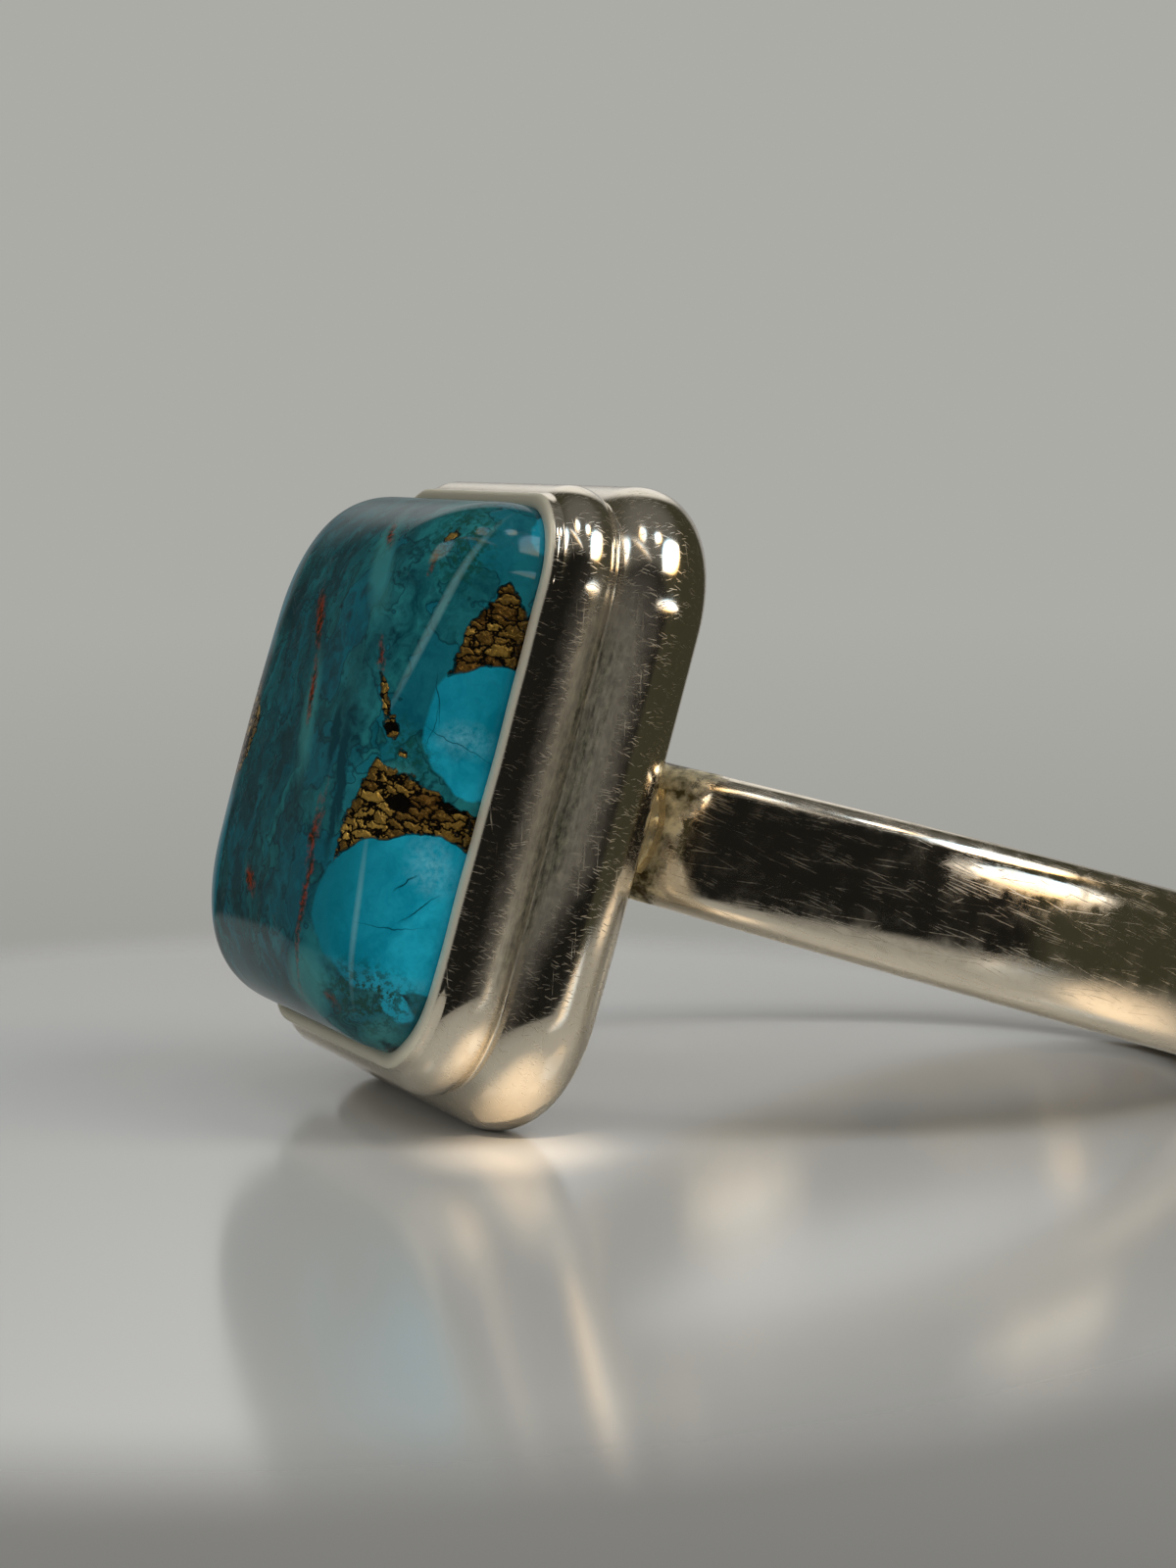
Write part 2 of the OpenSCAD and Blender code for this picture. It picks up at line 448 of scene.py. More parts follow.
def model_band(sizes):
    """The shank: flat inside, crowned outside, narrower towards the setting, its ends in the plate."""
    b = sizes.band
    half = b.width_back / 2
    outer, crown_x, edge_x, edge_z = band_outline(b)
    tangent = math.atan2(edge_z, edge_x - crown_x)
    start = Vector((HOLE_RADIUS, 0, half))
    piece = start_line("silver_band", start)
    here = line_to(start, (HOLE_RADIUS, 0, -half))
    here = line_to(here, (edge_x, 0, -half))
    here = arc((edge_x, 0, -edge_z), here, math.radians(90) - tangent, BAND_EDGE_STEPS)
    here = arc((crown_x, 0, 0), here, 2 * tangent, BAND_CROWN_STEPS)
    here = arc((edge_x, 0, edge_z), here, math.radians(90) - tangent, BAND_EDGE_STEPS)
    line_to(here, start)
    bpy.ops.mesh.select_mode(type="EDGE")
    bpy.ops.mesh.select_all(action="SELECT")
    sweep(BAND_TURN_STEPS, math.radians(360), (0, 0, 0), (0, 0, 1))
    close_up()
    pick(lambda p: math.hypot(p.x, p.y) < HOLE_RADIUS + NEAR and abs(p.z) > half - NEAR, "EDGE")
    bpy.ops.mesh.bevel(offset=b.inner_edge, segments=SOFT_EDGE_STEPS, affect="EDGES")
    bpy.ops.mesh.select_all(action="SELECT")
    stop = plate_place(sizes) + sizes.setting.plate / 2
    bpy.ops.mesh.bisect(plane_co=(-stop, 0, 0), plane_no=(-1, 0, 0), clear_outer=True)
    pick(lambda p: p.x < NEAR - stop, "EDGE")
    bpy.ops.mesh.edge_face_add()
    close_up()
    smooth()
    points = points_of(piece)
    points[:, 2] *= band_half_width(points[:, 0], b) / half
    move_points(piece, points)
    below_crown = outer - np.hypot(points[:, 0], points[:, 1])
    across = points[:, 2] + np.sign(points[:, 2]) * below_crown
    lay_map(piece, np.arctan2(points[:, 1], points[:, 0]) * outer, across, 2 * math.pi * outer)
    return piece


def on_band(x, lean, b):
    """A point of the band's outer face in the plane at x. Lean is -90 degrees at its lower edge, 90 at
    its upper edge and 0 on its crown."""
    _, crown_x, edge_x, edge_z = band_outline(b)
    half = band_half_width(x, b)
    z = b.width_back / 2 * math.sin(lean)
    past = max(abs(z) - edge_z, 0)
    radius = crown_x + math.sqrt(b.crown**2 - z**2)
    if past:
        radius = min(radius, edge_x + math.sqrt(max(b.edge**2 - past**2, 0)))
    return Vector((x, math.sqrt(max(radius**2 - x**2, 0)), z * half / (b.width_back / 2)))


def solder_section(sizes, turn):
    """The points of one section of the fillet, from inside the plate up to the band and into it.

    Half of them go over the band's outer face at one end, and then along one edge to the other end."""
    b, solder = sizes.band, sizes.solder
    half = SEAM_SECTIONS // 2
    step, side = turn % half, 1 if turn < half else -1
    lean = math.pi * (min(1, step / SEAM_OUTER_SECTIONS) - 0.5)
    along = max(0, step - SEAM_OUTER_SECTIONS) / (half - SEAM_OUTER_SECTIONS)
    foot = math.cos(lean) ** 2
    back = -plate_place(sizes)
    rise = solder.side + (solder.rise - solder.side) * foot
    corner, top = on_band(back, lean, b), on_band(back + rise, lean, b)
    for place in (corner, top):
        place.y *= 1 - 2 * along
    out = Vector((0, math.cos(lean), math.sin(lean)))
    plate_reach = solder.side + (solder.end - solder.side) * foot
    round_place = turn / SEAM_SECTIONS * SEAM_LUMP_COUNT
    lump = 1 + SEAM_LUMP_SIZE * noise.noise(Vector((round_place, side * 3, 0)))
    low = corner + out * plate_reach * lump
    row = [low - Vector((SEAM_IN_PLATE, 0, 0))]
    for up in SEAM_CURVE:
        row.append(low * (1 - up) ** 2 + corner * 2 * up * (1 - up) + top * up**2)
    row.append(top - out * SEAM_IN_BAND)
    return [(place.x, place.y * side, place.z * side) for place in row]


def model_solder(sizes):
    """The solder seam: a hollow fillet all round the band where it meets the setting's back.

    It starts as a torus with the seam's rows and columns of points, which all go to their own places."""
    bpy.ops.object.select_all(action="DESELECT")
    bpy.ops.mesh.primitive_torus_add(
        major_segments=SEAM_SECTIONS, minor_segments=len(SEAM_CURVE) + 2, major_radius=5 * MM,
        minor_radius=MM)
    piece = bpy.context.object
    piece.name = piece.data.name = "solder_seam"
    places = [place for turn in range(SEAM_SECTIONS) for place in solder_section(sizes, turn)]
    move_points(piece, np.array(places))
    bpy.ops.object.mode_set(mode="EDIT")
    close_up()
    smooth()
    return piece


def cushion_reach(turn, a, b, r):
    """How far a rounded rectangle's outline lies along (a cos, b sin) of each angle, 1 on the ellipse."""
    dx, dy = a * np.abs(np.cos(turn)), b * np.abs(np.sin(turn))
    cx, cy = a - r, b - r
    square, cross = dx**2 + dy**2, dx * cx + dy * cy
    corner = (cross + np.sqrt(np.maximum(cross**2 - square * (cx**2 + cy**2 - r**2), 0))) / square
    side = a / np.maximum(dx, 1e-9)
    end = b / np.maximum(dy, 1e-9)
    return np.where(side * dy <= cy, side, np.where(end * dx <= cx, end, corner))


def model_stone(sizes):
    """The cabochon: a profile spun to a round dome, then spread to the cushion outline."""
    s, stone = sizes.setting, sizes.stone
    piece = start_line("turquoise_cabochon", (0, 0, stone.rise))
    here = Vector((0, 0, stone.rise))
    for i in range(DOME_RINGS - 1, -1, -1):
        size = math.cos(math.pi / 2 * i / DOME_RINGS)
        height = math.sqrt(1 - size**stone.squareness) * stone.rise
        here = line_to(here, (size * MM, 0, height))
    for down, reach in STONE_SIDE:
        here = line_to(here, (reach * MM, 0, -down * (s.depth - stone.foot)))
    line_to(here, (0, 0, stone.foot - s.depth))
    bpy.ops.mesh.select_mode(type="EDGE")
    bpy.ops.mesh.select_all(action="SELECT")
    sweep(STONE_TURN_STEPS, math.radians(360), (0, 0, 0), (0, 0, 1))
    close_up()
    smooth()
    points = points_of(piece)
    size = np.hypot(points[:, 0], points[:, 1]) / MM
    turn = np.arctan2(points[:, 1], points[:, 0])
    half_x, half_y = s.rim_width / 2 - stone.inset, s.rim_length / 2 - stone.inset
    reach = cushion_reach(turn, half_x, half_y, s.corner - stone.inset)
    rounder = np.where(points[:, 2] > 0, np.clip(1 - size, 0, 1) ** 1.5, 0)
    spread = size * (reach * (1 - rounder) + rounder)
    points[:, 0] = spread * half_x * np.cos(turn)
    points[:, 1] = spread * half_y * np.sin(turn)
    points[:, 2] += s.depth
    move_points(piece, points)
    return piece


# Materials


# A Mix node's inputs and outputs go by number, because each name stands for several
SHARE, LOW, HIGH, UNDER, OVER = 0, 2, 3, 6, 7
IN_COLOUR = {"out": 2, "data_type": "RGBA"}
# Depths of the finest relief
BUFF_DEPTH = 0.006 * MM
POLISH_DEPTH = 0.002 * MM
SOLDER_LUMPS = 0.03 * MM
PLATE_LEAN = 0.4 * MM


def socket(tree, kind, inputs=None, out=0, **settings):
    """Adds one shader node of a kind such as Mix, with its settings and its inputs.

    An input is a value or another node's output, and what comes back is the new node's output."""
    node = tree.nodes.new("ShaderNode" + kind)
    for name, value in settings.items():
        setattr(node, name, value)
    for name, value in (inputs or {}).items():
        if isinstance(value, bpy.types.NodeSocket):
            tree.links.new(value, node.inputs[name])
        else:
            node.inputs[name].default_value = value
    return node.outputs[out]


def new_material(name):
    """An empty node material, its tree and its output node."""
    material = bpy.data.materials.new(name)
    material.use_nodes = True
    tree = material.node_tree
    tree.nodes.clear()
    return material, tree, tree.nodes.new("ShaderNodeOutputMaterial")


def tint(code):
    """A node's colour value from an sRGB hex code."""
    return (*linear(code), 1)


def scratches(tree, place, turn, spacing, reach, kept):
    """Short straight scratches, 1 in their middle: spacing is along and across them in millimetres.

    Reach is half a scratch's length as a share of its spacing, and kept is the share of them drawn."""
    turned = socket(
        tree, "Mapping",
        {"Vector": place, "Rotation": (0, 0, math.radians(turn)), "Scale": (*spacing, 1)},
        vector_type="TEXTURE")
    cells = {"Vector": turned, "Scale": 1.0}
    away = socket(tree, "TexVoronoi", cells, voronoi_dimensions="2D")
    lot = socket(tree, "TexVoronoi", cells, out=1, voronoi_dimensions="2D")
    line = socket(tree, "MapRange", {"Value": away, "From Min": reach, "From Max": reach * 0.6})
    drawn = socket(tree, "Math", {0: lot, 1: 1 - kept}, operation="GREATER_THAN")
    return socket(tree, "Math", {0: line, 1: drawn}, operation="MULTIPLY")


def all_scratches(tree, place, rows):
    """The strongest of several sets of scratches at each place."""
    strongest = scratches(tree, place, *rows[0])
    for row in rows[1:]:
        strongest = socket(
            tree, "Math", {0: strongest, 1: scratches(tree, place, *row)}, operation="MAXIMUM")
    return strongest


def silver_surface(tree, output, base, metal, roughness, height, lift):
    """A metal surface whose colour, share of bare metal, roughness and fine relief are given."""
    relief = socket(tree, "Bump", {"Height": height, "Strength": 1.0, "Distance": lift})
    surface = socket(
        tree, "BsdfPrincipled",
        {"Base Color": base, "Metallic": metal, "Roughness": roughness, "Normal": relief})
    tree.links.new(surface, output.inputs["Surface"])


def dull_groove(tree, sizes, along, up, blotches):
    """Where the setting's groove is dull: 1 at its bottom, fading out up both rolls.

    It narrows towards the lower end of the near side, and is rubbed away at the four corners."""
    wander = socket(tree, "Math", {0: blotches, 1: 0.5, 2: up}, operation="MULTIPLY_ADD")
    narrow = socket(tree, "MapRange", {"Value": along, "From Min": -1.0, "From Max": -4.0, "To Max": 0.75})
    lifted = socket(tree, "Math", {0: wander, 1: narrow}, operation="SUBTRACT")
    lower = socket(
        tree, "MapRange", {"Value": lifted, "From Min": -1.3, "From Max": 0.0},
        interpolation_type="SMOOTHSTEP")
    upper = socket(
        tree, "MapRange", {"Value": wander, "From Min": 1.5, "From Max": 0.35},
        interpolation_type="SMOOTHSTEP")
    band_of_it = socket(tree, "Math", {0: lower, 1: upper}, operation="MULTIPLY")
    s = sizes.setting
    quarter = (s.rim_width / 2 + s.rim_length / 2 + (math.pi / 2 - 2) * s.corner) / MM
    from_middle = socket(tree, "Math", {0: along, 1: quarter}, operation="PINGPONG")
    kept = socket(
        tree, "MapRange",
        {"Value": from_middle, "From Min": 3.9, "From Max": 5.6, "To Min": 1.0, "To Max": 0.12})
    return socket(tree, "Math", {0: band_of_it, 1: kept}, operation="MULTIPLY")


def rolled_silver(sizes):
    """Sterling silver, rolled and hand-buffed: a warm mirror with ticks, a dull groove and a satin rim."""
    material, tree, output = new_material("hand_buffed_sterling_silver")
    place = socket(tree, "UVMap", uv_map=SURFACE_MAP)
    along, up = (socket(tree, "SeparateXYZ", {0: place}, out=axis) for axis in (0, 1))
    # Ticks left by buffing, 0.2 to 0.3 mm long across the rolls and a few 0.8 mm long along them. Real
    # ones are finer, and these are drawn 0.02 mm wide to show.
    ticks = all_scratches(tree, place, (
        # Turn, spacing, reach, kept
        (74, (0.75, 0.075), 0.17, 0.6),
        (113, (0.6, 0.06), 0.17, 0.55),
        (94, (1.0, 0.07), 0.15, 0.5),
        (12, (3.0, 0.08), 0.13, 0.3)))
    # The tarnish is uneven: streaks 2 mm long and 0.16 mm wide, and blotches of about 0.5 mm
    streaked = socket(tree, "Mapping", {"Vector": place, "Scale": (2.0, 0.16, 1)}, vector_type="TEXTURE")
    streaks = socket(tree, "TexNoise", {"Vector": streaked, "Scale": 1.0, "Detail": 5.0, "Roughness": 0.65})
    blotches = socket(tree, "TexNoise", {"Vector": place, "Scale": 2.2, "Detail": 6.0, "Roughness": 0.6})
    groove = dull_groove(tree, sizes, along, up, blotches)
    dullness = socket(
        tree, "MapRange",
        {"Value": streaks, "From Min": 0.36, "From Max": 0.66, "To Min": 1.0, "To Max": 0.6})
    tarnish = socket(tree, "Math", {0: groove, 1: dullness}, operation="MULTIPLY")
    rim = socket(tree, "MapRange", {"Value": up, "From Min": 1.68, "From Max": 1.72})
    streaked_grain = socket(
        tree, "Mapping", {"Vector": place, "Scale": (0.3, 0.15, 1)}, vector_type="TEXTURE")
    grain = socket(
        tree, "TexNoise", {"Vector": streaked_grain, "Scale": 1.0, "Detail": 5.0, "Roughness": 0.7})
    mottle = socket(tree, "MapRange", {"Value": grain, "From Min": 0.4, "From Max": 0.66})
    dulled_colour = socket(
        tree, "Mix", {SHARE: mottle, UNDER: tint("#191A12"), OVER: tint("#8E8C72")}, **IN_COLOUR)
    tarnished = socket(
        tree, "Mix", {SHARE: tarnish, UNDER: tint("#ECE0CC"), OVER: dulled_colour}, **IN_COLOUR)
    base = socket(tree, "Mix", {SHARE: rim, UNDER: tarnished, OVER: tint("#EDE7D2")}, **IN_COLOUR)
    buffed = socket(
        tree, "MapRange",
        {"Value": grain, "From Min": 0.3, "From Max": 0.7, "To Min": 0.06, "To Max": 0.13})
    dulled = socket(tree, "Mix", {SHARE: groove, LOW: buffed, HIGH: 0.46})
    crowd = socket(
        tree, "MapRange",
        {"Value": blotches, "From Min": 0.36, "From Max": 0.64, "To Min": 0.09, "To Max": 0.34})
    ticked = socket(tree, "Math", {0: ticks, 1: crowd}, operation="MULTIPLY")
    worn = socket(tree, "Math", {0: ticked, 1: dulled}, operation="ADD")
    roughness = socket(tree, "Mix", {SHARE: rim, LOW: worn, HIGH: 0.5})
    bare = socket(tree, "Math", {0: tarnish, 1: -0.4, 2: 1.0}, operation="MULTIPLY_ADD")
    metal = socket(tree, "Math", {0: rim, 1: -0.25, 2: bare}, operation="MULTIPLY_ADD")
    pitted = socket(tree, "Math", {0: groove, 1: streaks}, operation="MULTIPLY")
    height = socket(tree, "Math", {0: ticked, 1: -0.2, 2: pitted}, operation="MULTIPLY_ADD")
    silver_surface(tree, output, base, metal, roughness, height, BUFF_DEPTH)
    return material


def band_silver(sizes):
    """Sterling silver worn on a finger: a mirror with hairlines along the band, dull at the solder."""
    material, tree, output = new_material("worn_sterling_silver")
    place = socket(tree, "UVMap", uv_map=SURFACE_MAP)
    # Hairlines 0.3 to 1.4 mm long, drawn 0.02 mm wide to show
    hairlines = all_scratches(tree, place, (
        # Turn, spacing, reach, kept
        (-10, (3.4, 0.07), 0.17, 0.5),
        (-17, (2.6, 0.06), 0.16, 0.45),
        (7, (5.0, 0.07), 0.15, 0.5),
        (-3, (4.0, 0.06), 0.14, 0.5),
        (38, (1.2, 0.08), 0.12, 0.2)))
    hoop, across = (socket(tree, "SeparateXYZ", {0: place}, out=axis) for axis in (0, 1))
    from_back = socket(tree, "Math", {0: hoop}, operation="ABSOLUTE")
    outer = (HOLE_RADIUS + sizes.band.thickness) / MM
    joint = outer * math.acos(-plate_place(sizes) / MM / outer)
    # Solder has flowed over the band's ends, in patches of about 0.6 mm, furthest on its upper side
    patches = socket(tree, "TexNoise", {"Vector": place, "Scale": 1.6, "Detail": 6.0, "Roughness": 0.62})
    near = socket(
        tree, "MapRange",
        {"Value": from_back, "From Min": joint - 2.6, "From Max": joint - 0.5, "To Max": 0.9})
    above = socket(tree, "Math", {0: across, 1: 0.09, 2: near}, operation="MULTIPLY_ADD")
    heated = socket(tree, "Math", {0: above, 1: patches}, operation="ADD")
    flowed = socket(
        tree, "MapRange", {"Value": heated, "From Min": 0.88, "From Max": 1.12},
        interpolation_type="SMOOTHSTEP")
    # Its two outer edges are rubbed duller than its middle
    edge = socket(tree, "Math", {0: across}, operation="ABSOLUTE")
    rubbed = socket(tree, "MapRange", {"Value": edge, "From Min": 1.1, "From Max": 1.8})
    pits = socket(tree, "TexNoise", {"Vector": place, "Scale": 1.4, "Detail": 5.0, "Roughness": 0.62})
    mottled = socket(tree, "MapRange", {"Value": pits, "From Min": 0.4, "From Max": 0.62})
    solder = socket(
        tree, "Mix", {SHARE: mottled, UNDER: tint("#4E4428"), OVER: tint("#F6E9C2")}, **IN_COLOUR)
    base = socket(tree, "Mix", {SHARE: flowed, UNDER: tint("#ECE0CC"), OVER: solder}, **IN_COLOUR)
    haze = socket(
        tree, "MapRange",
        {"Value": patches, "From Min": 0.4, "From Max": 0.66, "To Min": 0.06, "To Max": 0.24})
    satin = socket(tree, "Math", {0: rubbed, 1: 0.06, 2: haze}, operation="MULTIPLY_ADD")
    crowd = socket(
        tree, "MapRange",
        {"Value": patches, "From Min": 0.36, "From Max": 0.64, "To Min": 0.05, "To Max": 0.3})
    lined = socket(tree, "Math", {0: hairlines, 1: crowd}, operation="MULTIPLY")
    worn = socket(tree, "Math", {0: lined, 1: satin}, operation="ADD")
    roughness = socket(tree, "Math", {0: flowed, 1: 0.26, 2: worn}, operation="MULTIPLY_ADD")
    rough_solder = socket(tree, "Math", {0: flowed, 1: pits}, operation="MULTIPLY")
    deeper = socket(tree, "Math", {0: rough_solder, 1: 3.0}, operation="MULTIPLY")
    height = socket(tree, "Math", {0: lined, 1: -0.25, 2: deeper}, operation="MULTIPLY_ADD")
    metal = socket(tree, "Math", {0: flowed, 1: -0.3, 2: 1.0}, operation="MULTIPLY_ADD")
    silver_surface(tree, output, base, metal, roughness, height, BUFF_DEPTH)
    return material


def solder_silver():
    """Silver solder as it flowed: yellower and duller than the sheet, with soft lumps and pits."""
    material, tree, output = new_material("silver_solder")
    place = socket(tree, "TexCoord", out=3)
    lumps = socket(tree, "TexNoise", {"Vector": place, "Scale": 2.4 / MM, "Detail": 4.0, "Roughness": 0.55})
    base = socket(tree, "Mix", {SHARE: lumps, UNDER: tint("#A8935F"), OVER: tint("#F5EBD0")}, **IN_COLOUR)
    roughness = socket(
        tree, "MapRange",
        {"Value": lumps, "From Min": 0.3, "From Max": 0.7, "To Min": 0.36, "To Max": 0.16})
    silver_surface(tree, output, base, 0.9, roughness, lumps, SOLDER_LUMPS)
    return material


# The stone's pieces and veins, placed one by one. Along is from the middle of the finger's length
# upwards, and up is from the rim over the shoulder, both in millimetres. Those up to 10 mm are on the
# near side, and the rest are on the far side.
# Columns: along, up, half its length, half its width, turn in degrees from along towards up.
SKY_PIECES = (
    (-3.4, 1.2, 3.2, 1.88, 94),
    (1.2, 0.0, 2.08, 1.6, 86),
    (6.6, 0.25, 1.0, 0.7, 12),
    (-5.55, 0.85, 0.5, 0.36, 60),
    (3.6, 12.9, 1.9, 0.7, 4),
    (-3.7, 12.7, 2.1, 0.8, 176),
)
PALE_PIECES = (
    (-6.3, 1.3, 0.62, 0.3, 100),
    (-0.35, 2.55, 0.55, 0.3, 100),
    (4.6, 5.9, 1.5, 0.5, 40),
    (-5.6, 4.4, 1.1, 0.7, 80),
    (0.6, 7.4, 1.4, 0.45, 20),
)
# Painted reflections: two long pale streaks, a strip light's reflection painted on the polish
PAINTED_REFLECTIONS = (
    (3.62, 2.57, 2.1, 0.13, 162),
    (-3.7, 2.6, 1.4, 0.08, 11),
)
# Where the blue pieces are chalky
CHALK = (
    (-2.2, 0.75, 0.55, 0.4, 60),
    (0.9, 0.8, 0.5, 0.3, 90),
)
DARK_PIECES = (
    (-5.25, 0.62, 0.32, 0.15, 50),
    (-6.65, 1.25, 0.3, 0.2, 90),
    (-0.6, 4.6, 1.3, 0.22, 20),
    (0.2, 5.4, 0.8, 0.2, 10),
    (-1.7, 4.5, 0.9, 0.16, 10),
    (0.75, 4.75, 0.35, 0.1, 60),
)
RUST_VEINS = (
    (-3.5, 4.95, 1.5, 0.1, 4),
    (-2.2, 5.15, 0.7, 0.13, 12),
    (5.25, 6.3, 0.5, 0.13, 62),
    (2.9, 8.7, 0.9, 0.2, 40),
    (1.2, 7.7, 0.7, 0.16, 25),
    (-3.65, 8.9, 0.5, 0.22, 60),
    (2.4, 4.32, 0.25, 0.07, 35),
    (4.72, 3.34, 0.17, 0.08, 20),
    (-5.82, 3.12, 0.2, 0.09, 70),
)
FLAKE_PATCHES = (
    (1.45, 3.72, 0.62, 0.13, 36),
    (0.82, 3.12, 0.26, 0.16, 60),
    (0.28, 2.5, 0.16, 0.08, 60),
    (5.4, 3.1, 0.22, 0.09, 110),
    (-6.5, 0.2, 0.2, 0.14, 70),
)
CRACKS = (
    (-2.65, 1.33, 0.3, 0.018, 128),
    (-3.15, 0.75, 0.5, 0.016, 130),
    (1.75, 1.82, 0.5, 0.016, 20),
    (1.05, 1.75, 0.55, 0.014, 5),
    (-3.75, 1.5, 0.7, 0.012, 96),
    (0.75, 1.0, 0.8, 0.012, 75),
)
# Corners of the large flake patches, anticlockwise: along, up
FLAKE_FIELDS = (
    ((-0.05, 3.4), (-1.6, 4.0), (-3.15, 3.95), (-2.4, -0.4), (-0.85, -0.4)),
    ((4.75, 0.72), (3.3, 1.5), (2.1, 1.65), (2.3, -0.3), (3.9, -0.3)),
    ((1.6, 13.0), (1.2, 14.6), (-1.3, 14.6), (-1.2, 12.1), (0.2, 11.4)),
)
SHADOW_PATCHES = (
    (-5.5, 1.75, 1.45, 0.72, 92),
    (5.3, 2.6, 1.2, 0.9, 60),
    (0.3, 2.3, 0.8, 0.4, 60),
)


def oval_patches(tree, place, rows, softness):
    """How deep each place lies in the nearest of several ovals: 1 well inside and 0 outside."""
    deepest = None
    for along, up, long, wide, turn in rows:
        inside = socket(
            tree, "Mapping",
            {"Vector": place, "Location": (along, up, 0), "Rotation": (0, 0, math.radians(turn)),
             "Scale": (long, wide, 1)},
            vector_type="TEXTURE")
        away = socket(tree, "VectorMath", {0: inside}, out="Value", operation="LENGTH")
        depth = socket(
            tree, "MapRange",
            {"Value": away, "From Min": 1 + softness / 2 / wide, "From Max": 1 - softness / 2 / wide})
        deepest = depth if deepest is None else socket(
            tree, "Math", {0: deepest, 1: depth}, operation="MAXIMUM")
    return deepest


def corner_patch(tree, place, corners, softness):
    """1 inside a patch with straight sides between its corners, and 0 outside."""
    outermost = None
    for (a0, u0), (a1, u1) in zip(corners, corners[1:] + corners[:1]):
        side = Vector((u1 - u0, a0 - a1, 0)).normalized()
        beyond = socket(tree, "VectorMath", {0: place, 1: side}, out="Value", operation="DOT_PRODUCT")
        beyond = socket(tree, "Math", {0: beyond, 1: side.dot(Vector((a0, u0, 0)))}, operation="SUBTRACT")
        outermost = beyond if outermost is None else socket(
            tree, "Math", {0: outermost, 1: beyond}, operation="MAXIMUM")
    return socket(
        tree, "MapRange", {"Value": outermost, "From Min": softness / 2, "From Max": -softness / 2})


class StonePlaces:
    """Where each place on the stone lies, in millimetres, and the patterns that its parts share."""

    def __init__(self, tree, sizes):
        location, turn, _ = on_setting(sizes).decompose()
        local = socket(tree, "TexCoord", out=3)
        head = socket(
            tree, "Mapping",
            {"Vector": local, "Location": location, "Rotation": turn.to_euler(), "Scale": (MM, MM, MM)},
            vector_type="TEXTURE")
        across, along, outward = (socket(tree, "SeparateXYZ", {0: head}, out=axis) for axis in range(3))
        # Up the side and over the shoulder in one, as the near corner is seen from 45 degrees
        rim_place = (sizes.setting.depth - sizes.setting.rim_width / 2 + sizes.stone.inset) / MM
        climb = socket(tree, "Math", {0: outward, 1: across}, operation="SUBTRACT")
        up = socket(tree, "Math", {0: climb, 1: rim_place}, operation="SUBTRACT")
        flat = socket(tree, "CombineXYZ", {0: along, 1: up, 2: 0.0})

        # Edges of pieces wander by about 0.15 mm, and the flakes' edges are more ragged
        drift = socket(tree, "TexNoise", {"Vector": head, "Scale": 1.1, "Detail": 3.0}, out=1)
        ragged = socket(tree, "TexNoise", {"Vector": head, "Scale": 4.5, "Detail": 3.0}, out=1)
        centred = socket(tree, "VectorMath", {0: drift, 1: (0.5, 0.5, 0.5)}, operation="SUBTRACT")
        place = socket(
            tree, "VectorMath", {0: centred, 1: (0.55, 0.55, 0.0), 2: flat}, operation="MULTIPLY_ADD")
        torn = socket(tree, "VectorMath", {0: ragged, 1: (0.5, 0.5, 0.5)}, operation="SUBTRACT")
        rough = socket(
            tree, "VectorMath", {0: torn, 1: (0.38, 0.38, 0.0), 2: place}, operation="MULTIPLY_ADD")

        # Patterns are drawn out along the finger, as the slab was pressed
        warped = socket(
            tree, "VectorMath", {0: centred, 1: (2.2, 2.2, 2.2), 2: head}, operation="MULTIPLY_ADD")
        drawn_out = socket(
            tree, "Mapping", {"Vector": warped, "Scale": (1, 1.7, 1)}, vector_type="TEXTURE")
        cloud = socket(
            tree, "TexNoise", {"Vector": drawn_out, "Scale": 0.9, "Detail": 6.0, "Roughness": 0.64})
        cloudy = socket(tree, "MapRange", {"Value": cloud, "From Min": 0.36, "From Max": 0.64})
        fine = socket(tree, "TexNoise", {"Vector": head, "Scale": 6.0, "Detail": 5.0, "Roughness": 0.68})
        self.head, self.along, self.up, self.flat = head, along, up, flat
        self.place, self.torn, self.rough = place, torn, rough
        self.warped, self.drawn_out, self.cloudy, self.fine = warped, drawn_out, cloudy, fine


